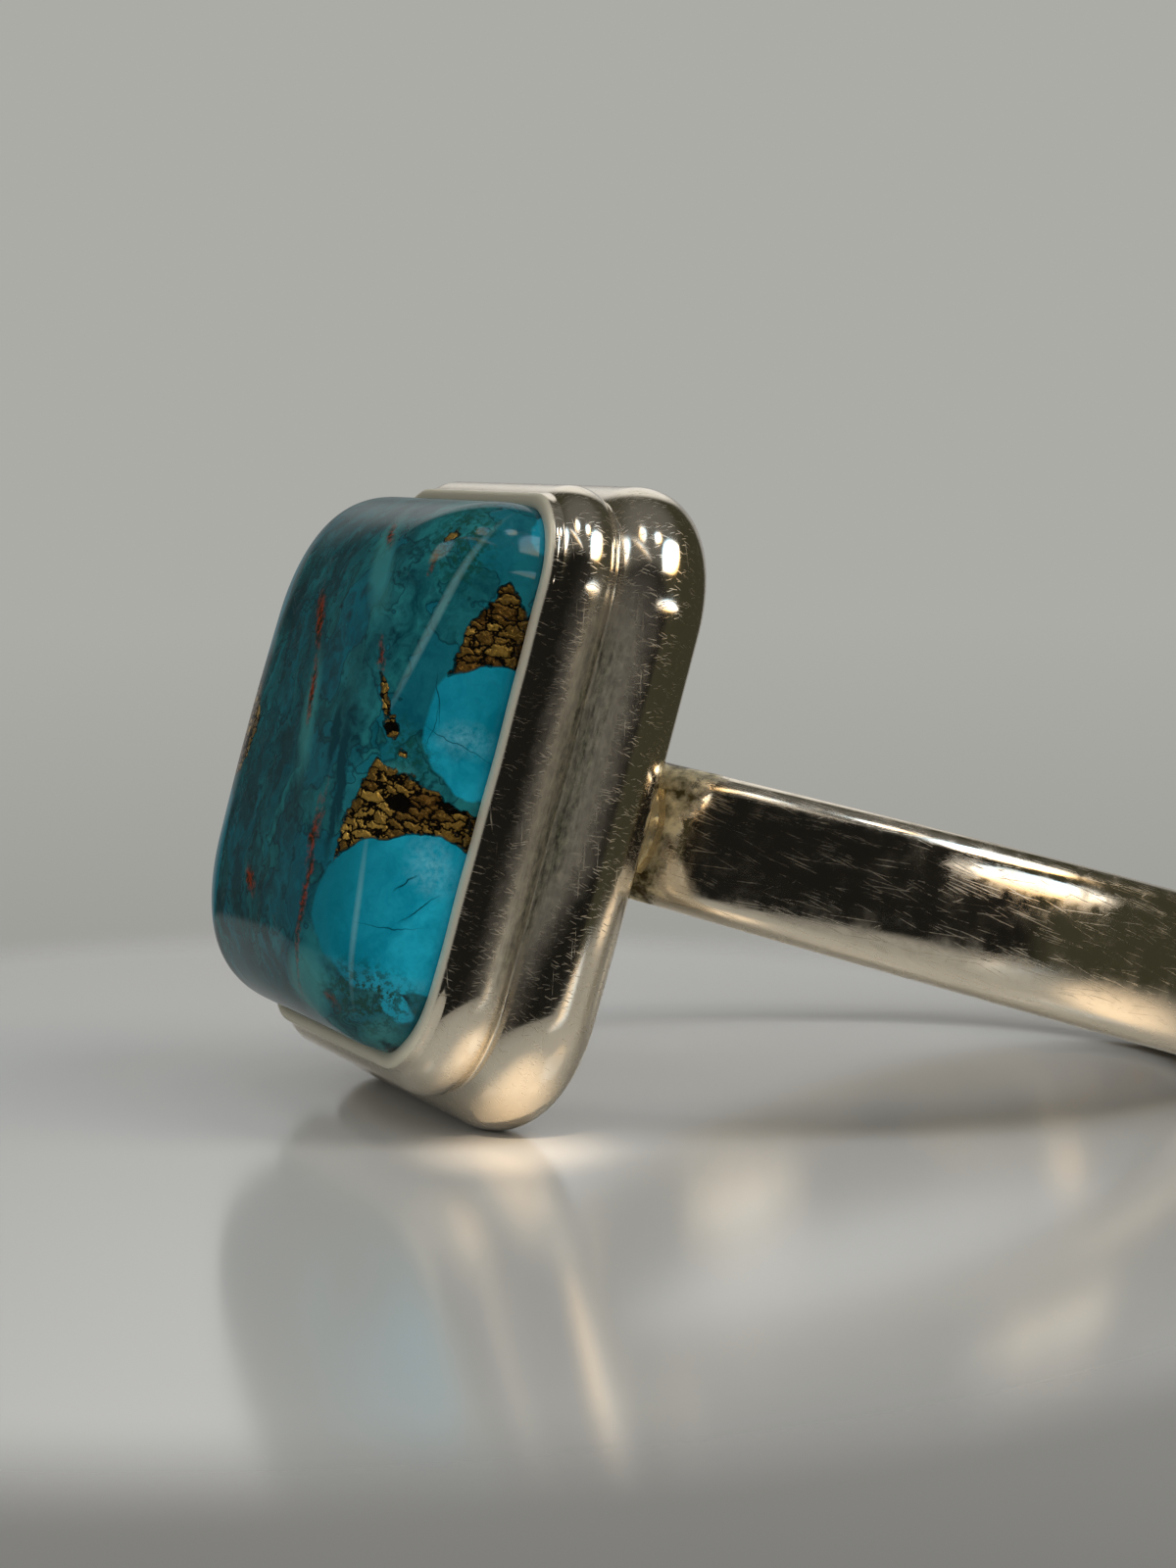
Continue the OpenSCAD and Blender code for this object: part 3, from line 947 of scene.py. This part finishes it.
def ground_colour(tree, at):
    """The ground: pressed pieces 2 to 3 mm across, each with its own blue, under cloudy green."""
    cells = {"Vector": at.drawn_out, "Scale": 0.6}
    lot = socket(tree, "TexVoronoi", cells, out=1)
    seam = socket(tree, "TexVoronoi", cells, feature="DISTANCE_TO_EDGE")
    own_blue = socket(tree, "MapRange", {"Value": lot, "From Min": 0.35, "From Max": 0.95, "To Max": 0.75})
    seams = socket(tree, "MapRange", {"Value": seam, "From Min": 0.03, "From Max": 0.0, "To Max": 0.8})

    # Past the shoulder it is darker and greyer: painted shade, broken by the stone's own grey streaks along
    # the finger
    streaked = socket(
        tree, "Mapping", {"Vector": at.warped, "Scale": (0.5, 2.6, 0.5)}, vector_type="TEXTURE")
    streaks = socket(tree, "TexNoise", {"Vector": streaked, "Scale": 0.8, "Detail": 4.0, "Roughness": 0.6})
    streak = socket(tree, "MapRange", {"Value": streaks, "From Min": 0.35, "From Max": 0.6})
    past = socket(tree, "MapRange", {"Value": at.up, "From Min": 3.8, "From Max": 6.5, "To Max": 0.8})
    grey_streaks_and_shade = socket(tree, "Math", {0: past, 1: streak}, operation="MULTIPLY")

    pale = oval_patches(tree, at.place, PALE_PIECES, 0.35)
    pale = socket(tree, "Math", {0: pale, 1: 0.6}, operation="MULTIPLY")
    dark = oval_patches(tree, at.rough, DARK_PIECES, 0.12)
    ground = socket(
        tree, "Mix", {SHARE: at.cloudy, UNDER: tint("#06343C"), OVER: tint("#237074")}, **IN_COLOUR)
    # The grey-blue #1C3439 past the shoulder is partly painted shade and partly the stone's own streaks
    for mask, code in (
            (own_blue, "#0C5C6C"), (seams, "#0A2C33"), (grey_streaks_and_shade, "#1C3439"), (pale, "#3E8584"),
            (dark, "#0B353D")):
        ground = socket(tree, "Mix", {SHARE: mask, UNDER: ground, OVER: tint(code)}, **IN_COLOUR)
    return ground


def blue_colour(tree, at):
    """The blue pieces: darker towards the shoulder as painted shade, deeper in the upper one, with chalky
    patches.
    """
    # Painted shade: the blue darkens from the rim up over the shoulder
    deeper = socket(tree, "MapRange", {"Value": at.up, "From Min": 0.7, "From Max": 3.4, "To Max": 0.8})
    upper_piece = socket(
        tree, "MapRange", {"Value": at.along, "From Min": -1.0, "From Max": 1.0, "To Max": 0.45})
    deeper = socket(tree, "Math", {0: deeper, 1: upper_piece}, operation="MAXIMUM")
    whiter = socket(tree, "MapRange", {"Value": at.fine, "From Min": 0.35, "From Max": 0.65, "To Max": 0.5})
    chalk = oval_patches(tree, at.place, CHALK, 0.6)
    whiter = socket(tree, "Math", {0: whiter, 1: chalk}, operation="MULTIPLY")
    sky_blue = socket(
        tree, "Mix", {SHARE: at.cloudy, UNDER: tint("#078099"), OVER: tint("#1FA3BD")}, **IN_COLOUR)
    # 0A5C68 over this mask is painted shade towards the shoulder, and the upper piece's own deeper blue
    for mask, code in ((deeper, "#0A5C68"), (whiter, "#7CC3D6")):
        sky_blue = socket(tree, "Mix", {SHARE: mask, UNDER: sky_blue, OVER: tint(code)}, **IN_COLOUR)
    return sky_blue


def bronze_plates(tree, at, sky):
    """Bronze plates about 0.4 by 0.25 mm, with black between them and where one is missing.

    Gives where the patches of plates are, where there is bronze, its colour with a painted highlight along
    the shoulder, and the relief."""
    longer = socket(
        tree, "Mapping", {"Vector": at.head, "Scale": (0.42, 0.25, 0.55)}, vector_type="TEXTURE")
    bent = socket(tree, "VectorMath", {0: at.torn, 1: (1.3, 1.3, 1.3), 2: longer}, operation="MULTIPLY_ADD")
    plates = {"Vector": bent, "Scale": 1.0, "Randomness": 0.9}
    plate_lot = socket(tree, "TexVoronoi", plates, out=1)
    plate_edge = socket(tree, "TexVoronoi", plates, feature="DISTANCE_TO_EDGE")
    plate = socket(tree, "MapRange", {"Value": plate_edge, "From Min": 0.06, "From Max": 0.12})
    # Painted highlight: the plates are lighter in a band along the shoulder, where a window's streak glints
    # on them
    painted_glint_band = socket(
        tree, "MapRange", {"Value": at.up, "From Min": 2.2, "From Max": 3.2, "To Min": 0.5, "To Max": 1.0})
    bright = socket(tree, "Math", {0: plate_lot, 1: 1.6}, operation="POWER")
    bright = socket(tree, "Math", {0: bright, 1: painted_glint_band}, operation="MULTIPLY")
    bronze = socket(
        tree, "Mix", {SHARE: bright, UNDER: tint("#40270F"), OVER: tint("#FFCF66")}, **IN_COLOUR)
    flakes = oval_patches(tree, at.rough, FLAKE_PATCHES, 0.06)
    for corners in FLAKE_FIELDS:
        field = corner_patch(tree, at.rough, corners, 0.08)
        flakes = socket(tree, "Math", {0: flakes, 1: field}, operation="MAXIMUM")
    # The blue pieces lie over the plates
    uncovered = socket(tree, "Math", {0: 1.0, 1: sky}, operation="SUBTRACT")
    flakes = socket(tree, "Math", {0: flakes, 1: uncovered}, operation="MULTIPLY")
    missing = socket(tree, "Math", {0: plate_lot, 1: 0.2}, operation="GREATER_THAN")
    plate = socket(tree, "Math", {0: plate, 1: missing}, operation="MULTIPLY")
    bronze_share = socket(tree, "Math", {0: flakes, 1: plate}, operation="MULTIPLY")
    # Each plate leans its own way, so each glints by itself
    lean = socket(tree, "VectorMath", {0: plate_lot, 1: (0.5, 0.5, 0.5)}, operation="SUBTRACT")
    tumbled = socket(tree, "VectorMath", {0: bent, 1: lean}, out="Value", operation="DOT_PRODUCT")
    rounded = socket(
        tree, "MapRange", {"Value": plate_edge, "From Min": 0.04, "From Max": 0.26, "To Max": 0.22})
    tumbled = socket(tree, "Math", {0: tumbled, 1: rounded}, operation="ADD")
    plate_relief = socket(tree, "Math", {0: tumbled, 1: flakes}, operation="MULTIPLY")
    relief = socket(tree, "Bump", {"Height": plate_relief, "Strength": 1.0, "Distance": PLATE_LEAN})
    return flakes, bronze_share, bronze, relief


def turquoise(sizes):
    """Polished turquoise composite: blue and teal pieces in resin, with plates of bronze between them.

    It looks like wet paint over depth: saturated colour, a clear gloss, and metal that glints."""
    material, tree, output = new_material("bronze_veined_turquoise")
    at = StonePlaces(tree, sizes)
    sky = oval_patches(tree, at.place, SKY_PIECES, 0.07)
    flakes, bronze_share, bronze, relief = bronze_plates(tree, at, sky)
    # Moss and specks of about 0.2 mm, in the shadow patches only
    shadow = oval_patches(tree, at.place, SHADOW_PATCHES, 0.7)
    speck = socket(tree, "MapRange", {"Value": at.fine, "From Min": 0.47, "From Max": 0.56})
    moss = socket(tree, "Math", {0: shadow, 1: speck}, operation="MULTIPLY")
    rust = oval_patches(tree, at.rough, RUST_VEINS, 0.2)
    rusty = socket(tree, "Mix", {SHARE: speck, UNDER: tint("#241E12"), OVER: tint("#7A2C14")}, **IN_COLOUR)
    # Painted reflection: pale streaks of a strip light, laid into the stone's colour
    painted_reflections = oval_patches(tree, at.flat, PAINTED_REFLECTIONS, 0.12)
    painted_reflections = socket(tree, "Math", {0: painted_reflections, 1: 0.22}, operation="MULTIPLY")
    cracks = oval_patches(tree, at.place, CRACKS, 0.02)
    coloured = ground_colour(tree, at)
    # The pale #9CCBC9 streaks mixed in here are a painted reflection
    for mask, over in (
            (sky, blue_colour(tree, at)), (rust, rusty), (moss, tint("#123F38")), (painted_reflections, tint("#9CCBC9")),
            (cracks, tint("#083540")), (flakes, tint("#0D0A06")), (bronze_share, bronze)):
        coloured = socket(tree, "Mix", {SHARE: mask, UNDER: coloured, OVER: over}, **IN_COLOUR)
    metal = socket(tree, "Math", {0: bronze_share, 1: 0.8}, operation="MULTIPLY")
    roughness = socket(tree, "MapRange", {"Value": metal, "To Min": 0.22, "To Max": 0.36})
    # Wear on the polish: scratches 0.5 to 0.7 mm long, drawn 0.03 mm wide to show
    worn = all_scratches(tree, at.flat, ((62, (2.4, 0.1), 0.14, 0.35), (118, (1.8, 0.09), 0.14, 0.3)))
    polish = socket(tree, "Bump", {"Height": worn, "Strength": 1.0, "Distance": -POLISH_DEPTH})
    surface = socket(
        tree, "BsdfPrincipled",
        {"Base Color": coloured, "Metallic": metal, "Roughness": roughness, "Normal": relief,
         "Specular IOR Level": 0.0, "Coat Weight": 0.5, "Coat Roughness": 0.06, "Coat IOR": 1.5,
         "Coat Normal": polish})
    tree.links.new(surface, output.inputs["Surface"])
    return material


# Stage


# The picture in pixels
PICTURE_WIDTH = 1200
PICTURE_HEIGHT = 1600
# The floor's shown part is an oval, narrower across the view: its middle, how narrow it is as a share,
# and how far along the view it starts and ends to fade
FLOOR_RADIUS = 60 * MM
FLOOR_MIDDLE = -12 * MM
FLOOR_SQUEEZE = 0.8
FLOOR_WHOLE = 30 * MM
FLOOR_GONE = 38 * MM


def aim(azimuth, elevation):
    """The direction from the ring, 0 straight out at the front and 90 towards the back of the band."""
    a, e = math.radians(azimuth), math.radians(elevation)
    return Vector((math.sin(a) * math.cos(e), -math.cos(a) * math.cos(e), math.sin(e)))


def add_camera(sizes):
    """The camera at the photograph's angle, worked out from the pixel at which the side's middle shows."""
    g = sizes.stage
    side = Vector((-plate_place(sizes) - sizes.setting.depth / 2, -sizes.setting.rim_width / 2, 0))
    target = Vector(HOLE["pos_m"]) + at_rest().to_3x3() @ side
    forward = aim(180 - math.degrees(g.heading), -math.degrees(g.dip))
    level = Vector((math.cos(g.heading), -math.sin(g.heading), 0))
    upright = level.cross(forward)
    right = level * math.cos(g.roll) + upright * math.sin(g.roll)
    up = upright * math.cos(g.roll) - level * math.sin(g.roll)
    across = (g.aim_across - PICTURE_WIDTH / 2) / g.focal
    down = (g.aim_down - PICTURE_HEIGHT / 2) / g.focal
    place = target + (-forward - right * across + up * down) * g.distance
    bpy.ops.object.camera_add()
    camera = bpy.context.object
    camera.name = "camera"
    camera.matrix_world = Matrix.Translation(place) @ Matrix((right, up, -forward)).transposed().to_4x4()
    camera.data.lens = g.focal * camera.data.sensor_width / PICTURE_HEIGHT
    camera.data.clip_start = MM
    bpy.context.scene.camera = camera


def add_floor(sizes):
    """A round pale floor that fades out into the backdrop."""
    bpy.ops.object.select_all(action="DESELECT")
    bpy.ops.mesh.primitive_circle_add(vertices=96, radius=FLOOR_RADIUS, fill_type="NGON")
    floor = bpy.context.object
    floor.name = "floor"
    material, tree, output = new_material("pale_floor")
    place = socket(tree, "TexCoord", out=3)
    reach = socket(
        tree, "Mapping",
        {"Vector": place, "Location": (FLOOR_MIDDLE, 0, 0), "Rotation": (0, 0, -sizes.stage.heading),
         "Scale": (FLOOR_SQUEEZE, 1, 1)},
        vector_type="TEXTURE")
    away = socket(tree, "VectorMath", {0: reach}, out="Value", operation="LENGTH")
    shown = socket(
        tree, "MapRange",
        {"Value": away, "From Min": FLOOR_WHOLE, "From Max": FLOOR_GONE, "To Min": 1.0, "To Max": 0.0},
        interpolation_type="SMOOTHSTEP")
    surface = socket(
        tree, "BsdfPrincipled",
        {"Base Color": (*sizes.stage.floor, 1), "Roughness": 0.14, "IOR": 1.49, "Alpha": shown})
    tree.links.new(surface, output.inputs["Surface"])
    floor.data.materials.append(material)


# Windows as the ring sees them. Columns: azimuth and elevation, half width and half height, all in
# degrees, then turn, strength, and softness of the edge as a share of the size.
WINDOWS = (
    (48, 51, 20, 14, 0, 6.0, 0.22),
    (44, 76, 6, 5, 0, 7.0, 0.4),
    (25, 14.2, 25, 4.3, -19, 4.0, 0.2),
    (-109, 50, 10, 8, 0, 3.5, 0.3),
    (-96, 79, 8, 5, 0, 4.0, 0.3),
    (-64, 70, 22, 2.0, 0, 2.0, 0.4),
)
# The sky through a window, from its lower edge to its upper, and the room round it
WINDOW_LOW = "#FFD592"
WINDOW_HIGH = "#B4DCFF"
ROOM_COLOUR = "#3C3C30"
# The room's broad tones: azimuth, elevation, then where the tone is whole and where it has faded out
ROOM = (
    (158, 4, 20, 30, (0.34, 0.34, 0.33)),
    (160, 27, 9, 20, (0.9, 0.9, 0.88)),
    (20, 90, 20, 50, (0.13, 0.13, 0.125)),
    (-120, -8, 12, 55, (0.1, 0.1, 0.097)),
    (-35, 4, 52, 64, (0.011, 0.011, 0.01)),
)


def window_mask(tree, way, row):
    """1 where a direction lies in a lens-shaped window, and how high in it, from -1 to 1."""
    azimuth, elevation, wide, high, turn, _, soft = row
    facing = aim(azimuth, elevation).to_track_quat("Z", "Y").to_matrix()
    facing = facing @ Matrix.Rotation(math.radians(turn), 3, "Z")
    size = (math.sin(math.radians(wide)), math.sin(math.radians(high)), 1)
    inside = socket(
        tree, "Mapping", {"Vector": way, "Rotation": facing.to_euler(), "Scale": size},
        vector_type="TEXTURE")
    x, y, z = (socket(tree, "SeparateXYZ", {0: inside}, out=axis) for axis in range(3))
    upwards = socket(tree, "Math", {0: y}, operation="ABSOLUTE")
    furthest = socket(tree, "Math", {0: x, 1: x, 2: upwards}, operation="MULTIPLY_ADD")
    shown = socket(
        tree, "MapRange", {"Value": furthest, "From Min": 1 + soft, "From Max": 1 - soft},
        interpolation_type="SMOOTHSTEP")
    ahead = socket(tree, "Math", {0: z, 1: 0.0}, operation="GREATER_THAN")
    return socket(tree, "Math", {0: shown, 1: ahead}, operation="MULTIPLY"), y


def add_world(sizes):
    """Plain grey to the camera; to the ring a dim olive room, dark in front, with windows."""
    world = bpy.data.worlds.new("studio")
    bpy.context.scene.world = world
    world.use_nodes = True
    tree = world.node_tree
    tree.nodes.clear()
    way = socket(tree, "TexCoord", out=0)
    room = tint(ROOM_COLOUR)
    for azimuth, elevation, whole, gone, tone in ROOM:
        middle = aim(azimuth, elevation)
        start, end = (math.cos(math.radians(angle)) for angle in (gone, whole))
        facing = socket(tree, "VectorMath", {0: way, 1: middle}, out="Value", operation="DOT_PRODUCT")
        amount = socket(
            tree, "MapRange", {"Value": facing, "From Min": start, "From Max": end},
            interpolation_type="SMOOTHSTEP")
        room = socket(tree, "Mix", {SHARE: amount, UNDER: room, OVER: (*tone, 1)}, **IN_COLOUR)
    for row in WINDOWS:
        shown, height = window_mask(tree, way, row)
        cooler = socket(tree, "MapRange", {"Value": height, "From Min": -1.0, "From Max": 1.0})
        glow = socket(
            tree, "Mix", {SHARE: cooler, UNDER: tint(WINDOW_LOW), OVER: tint(WINDOW_HIGH)}, **IN_COLOUR)
        pane = socket(tree, "VectorMath", {0: glow, "Scale": row[5]}, operation="SCALE")
        room = socket(tree, "Mix", {SHARE: shown, UNDER: room, OVER: pane}, **IN_COLOUR)
    lit = socket(tree, "Background", {"Color": room, "Strength": 1.0})
    # The backdrop darkens below the ring
    rise = socket(tree, "SeparateXYZ", {0: way}, out=2)
    lower = socket(tree, "MapRange", {"Value": rise, "From Min": -0.05, "From Max": -0.3})
    backdrop = socket(
        tree, "Mix", {SHARE: lower, UNDER: (*sizes.stage.backdrop, 1), OVER: (*sizes.stage.below, 1)},
        **IN_COLOUR)
    plain = socket(tree, "Background", {"Color": backdrop, "Strength": 1.0})
    direct = socket(tree, "LightPath", out=0)
    seen = socket(tree, "MixShader", {0: direct, 1: lit, 2: plain})
    output = tree.nodes.new("ShaderNodeOutputWorld")
    tree.links.new(seen, output.inputs["Surface"])


# Where the fill light and the glows shine from: azimuth and elevation in degrees
FILL_FROM = (-48, 30)
GLOW_FROM = (-25, 50)
GLOW_DISTANCE = 60 * MM
GLOW_COLOUR = "#FFE2C0"
# Warm patches of light that the silver throws on the floor. Columns: X and Y in millimetres, cone
# angle in degrees, power in watts.
GLOWS = (
    (-9.2, -7.3, 4.8, 0.22),
    (9.6, -13.6, 7.5, 0.3),
)


def add_glows():
    """Small spots of light on the floor under the setting's lowest corner and in front of the band."""
    way = aim(*GLOW_FROM)
    for index, (x, y, cone, power) in enumerate(GLOWS):
        bpy.ops.object.light_add(type="SPOT")
        glow = bpy.context.object
        glow.name = glow.data.name = f"floor_glow_{index}"
        glow.location = Vector((x, y, 0)) * MM + way * GLOW_DISTANCE
        glow.rotation_euler = way.to_track_quat("Z", "Y").to_euler()
        glow.data.spot_size = math.radians(cone)
        glow.data.spot_blend = 1.0
        glow.data.shadow_soft_size = MM
        glow.data.energy = power
        glow.data.color = linear(GLOW_COLOUR)
        glow.visible_glossy = False


def add_fill():
    """Wide soft light from the stone's side. It shapes the stone and the floor, and isn't mirrored."""
    bpy.ops.object.light_add(type="SUN")
    fill = bpy.context.object
    fill.name = fill.data.name = "soft_fill"
    fill.rotation_euler = aim(*FILL_FROM).to_track_quat("Z", "Y").to_euler()
    fill.data.angle = math.radians(100)
    fill.data.energy = 1.7
    fill.visible_glossy = False


# Operators


class RING_OT_setting(bpy.types.Operator):
    """Model the silver setting"""

    bl_idname = "ring.setting"
    bl_label = "Setting"

    def execute(self, context):
        sizes = context.scene.turquoise_ring
        setting = model_setting(sizes)
        finish_piece(setting, on_setting(sizes), rolled_silver(sizes), "silver_ring")
        return {"FINISHED"}


class RING_OT_band(bpy.types.Operator):
    """Model the silver band"""

    bl_idname = "ring.band"
    bl_label = "Band"

    def execute(self, context):
        sizes = context.scene.turquoise_ring
        finish_piece(model_band(sizes), at_rest(), band_silver(sizes))
        return {"FINISHED"}


class RING_OT_solder(bpy.types.Operator):
    """Model the solder seam between the band and the setting"""

    bl_idname = "ring.solder"
    bl_label = "Solder"

    def execute(self, context):
        sizes = context.scene.turquoise_ring
        finish_piece(model_solder(sizes), at_rest(), solder_silver())
        return {"FINISHED"}


class RING_OT_stone(bpy.types.Operator):
    """Model the turquoise cabochon"""

    bl_idname = "ring.stone"
    bl_label = "Stone"

    def execute(self, context):
        sizes = context.scene.turquoise_ring
        stone = model_stone(sizes)
        finish_piece(stone, on_setting(sizes), turquoise(sizes), "turquoise_stone")
        return {"FINISHED"}


class RING_OT_stage(bpy.types.Operator):
    """Set up the camera, floor, backdrop and light"""

    bl_idname = "ring.stage"
    bl_label = "Stage"

    def execute(self, context):
        sizes = context.scene.turquoise_ring
        add_camera(sizes)
        add_floor(sizes)
        add_world(sizes)
        add_fill()
        add_glows()
        context.scene.view_settings.view_transform = "Standard"
        return {"FINISHED"}


class RING_PT_panel(bpy.types.Panel):
    """Buttons for the ring's pieces"""

    bl_label = "Turquoise Ring"
    bl_idname = "RING_PT_panel"
    bl_space_type = "VIEW_3D"
    bl_region_type = "UI"
    bl_category = "Ring"

    def draw(self, context):
        for operator in BUILDERS:
            self.layout.operator(operator.bl_idname)


GROUPS = (BandSizes, SettingSizes, StoneSizes, SolderSizes, StageSettings, RingSettings)
BUILDERS = (RING_OT_setting, RING_OT_band, RING_OT_solder, RING_OT_stone, RING_OT_stage)


def register():
    for group in (*GROUPS, *BUILDERS, RING_PT_panel):
        bpy.utils.register_class(group)
    bpy.types.Scene.turquoise_ring = bpy.props.PointerProperty(type=RingSettings)


def unregister():
    del bpy.types.Scene.turquoise_ring
    for group in reversed((*GROUPS, *BUILDERS, RING_PT_panel)):
        bpy.utils.unregister_class(group)


def main():
    register()
    for operator in BUILDERS:
        group, name = operator.bl_idname.split(".")
        getattr(getattr(bpy.ops, group), name)()


if __name__ == "__main__":
    main()
